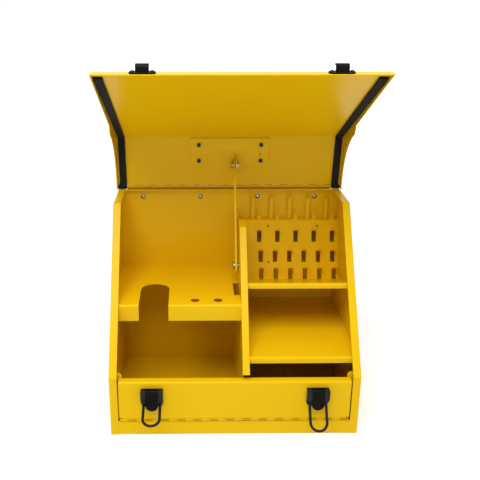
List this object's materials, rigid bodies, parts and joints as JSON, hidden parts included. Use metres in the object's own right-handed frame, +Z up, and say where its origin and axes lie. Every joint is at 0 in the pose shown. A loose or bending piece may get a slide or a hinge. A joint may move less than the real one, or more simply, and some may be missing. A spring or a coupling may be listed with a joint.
{
  "type": "steel toolbox",
  "caption": "Sheet-steel toolbox with a sloping mouth, hinged lid on a slotted stay, drop front with draw latches, and shelves, a divider and a tabbed socket tray inside.",
  "frame": {"origin": "centre of the base underside, on the ground", "axes": "+Z up, +X to the user's right facing the open front, +Y from the front to the back"},
  "size_m": [0.3846, 0.3169, 0.5589],
  "materials": {
    "yellow_powder_coat": "satin powder coat with a fine texture",
    "black_coat": "satin black coating on pressed steel and wire",
    "black_foam": "closed-cell foam strip",
    "bright_steel": "bright zinc plate",
    "black_rubber": "matte moulded sleeve"
  },
  "bodies": {
    "case": {"left_side_panel": "yellow_powder_coat", "right_side_panel": "yellow_powder_coat", "back_panel": "yellow_powder_coat", "base_pan": "yellow_powder_coat", "divider": "yellow_powder_coat", "left_shelf": "yellow_powder_coat", "right_shelf": "yellow_powder_coat", "socket_tray": "yellow_powder_coat", "stop_bracket_left": "yellow_powder_coat", "stop_bracket_right": "yellow_powder_coat", "stop_buttons": "bright_steel", "lid_hinge_body_leaf": "yellow_powder_coat", "lid_hinge_pin": "bright_steel", "lid_hinge_rivets": "bright_steel", "stay_pin": "bright_steel", "front_hinge_base_leaf": "yellow_powder_coat", "front_hinge_pin": "bright_steel"},
    "drop_front": {"front_panel": "yellow_powder_coat", "front_hinge_panel_leaf": "yellow_powder_coat", "latch_base_left": "black_coat", "latch_base_right": "black_coat", "latch_rivets": "black_coat", "latch_pins": "black_coat"},
    "lever_left": {"latch_lever_left": "black_coat"},
    "lever_right": {"latch_lever_right": "black_coat"},
    "bail_left": {"latch_bail_left": "black_coat"},
    "bail_right": {"latch_bail_right": "black_coat"},
    "lid": {"lid_shell": "yellow_powder_coat", "gasket_left": "black_foam", "gasket_right": "black_foam", "lid_hinge_lid_leaf": "yellow_powder_coat", "lid_plate": "yellow_powder_coat", "stay_pivot_bolt": "bright_steel", "stay_pivot_nut": "bright_steel", "keeper_left": "black_coat", "keeper_right": "black_coat", "keeper_screws": "black_coat", "handle_bracket_left": "black_coat", "handle_bracket_right": "black_coat", "handle_bolts": "black_coat", "handle_nuts": "black_coat"},
    "handle": {"handle_bail": "black_coat", "handle_grip": "black_rubber"},
    "stay": {"stay_bar": "yellow_powder_coat"}
  },
  "joints": [
    {"name": "lid_hinge", "type": "hinge", "parent": "case", "child": "lid", "pos_m": [0, 0.1215, 0.3303], "axis": [1, 0, 0], "range_deg": [0, 83]},
    {"name": "stay_pivot", "type": "hinge", "parent": "lid", "child": "stay", "pos_m": [0, 0.10794, 0.37095], "axis": [1, 0, 0], "range_deg": [-83, 0]},
    {"name": "front_hinge", "type": "hinge", "parent": "case", "child": "drop_front", "pos_m": [0, -0.1225, 0.026], "axis": [1, 0, 0], "range_deg": [0, 90]},
    {"name": "lever_left_pivot", "type": "hinge", "parent": "drop_front", "child": "lever_left", "pos_m": [-0.1255, -0.1272, 0.0782], "axis": [-1, 0, 0], "range_deg": [0, 80]},
    {"name": "lever_right_pivot", "type": "hinge", "parent": "drop_front", "child": "lever_right", "pos_m": [0.1255, -0.1272, 0.0782], "axis": [-1, 0, 0], "range_deg": [0, 80]},
    {"name": "bail_left_pivot", "type": "hinge", "parent": "lever_left", "child": "bail_left", "pos_m": [-0.1255, -0.12905, 0.057], "axis": [-1, 0, 0], "range_deg": [-38, 46]},
    {"name": "bail_right_pivot", "type": "hinge", "parent": "lever_right", "child": "bail_right", "pos_m": [0.1255, -0.12905, 0.057], "axis": [-1, 0, 0], "range_deg": [-1, 83]},
    {"name": "handle_pivot", "type": "hinge", "parent": "lid", "child": "handle", "pos_m": [0, 0.12447, 0.39227], "axis": [1, 0, 0], "range_deg": [0, 160]}
  ],
  "couplings": [
    {"joint": "stay_pivot", "follows": "lid_hinge", "ratio": -1}
  ]
}
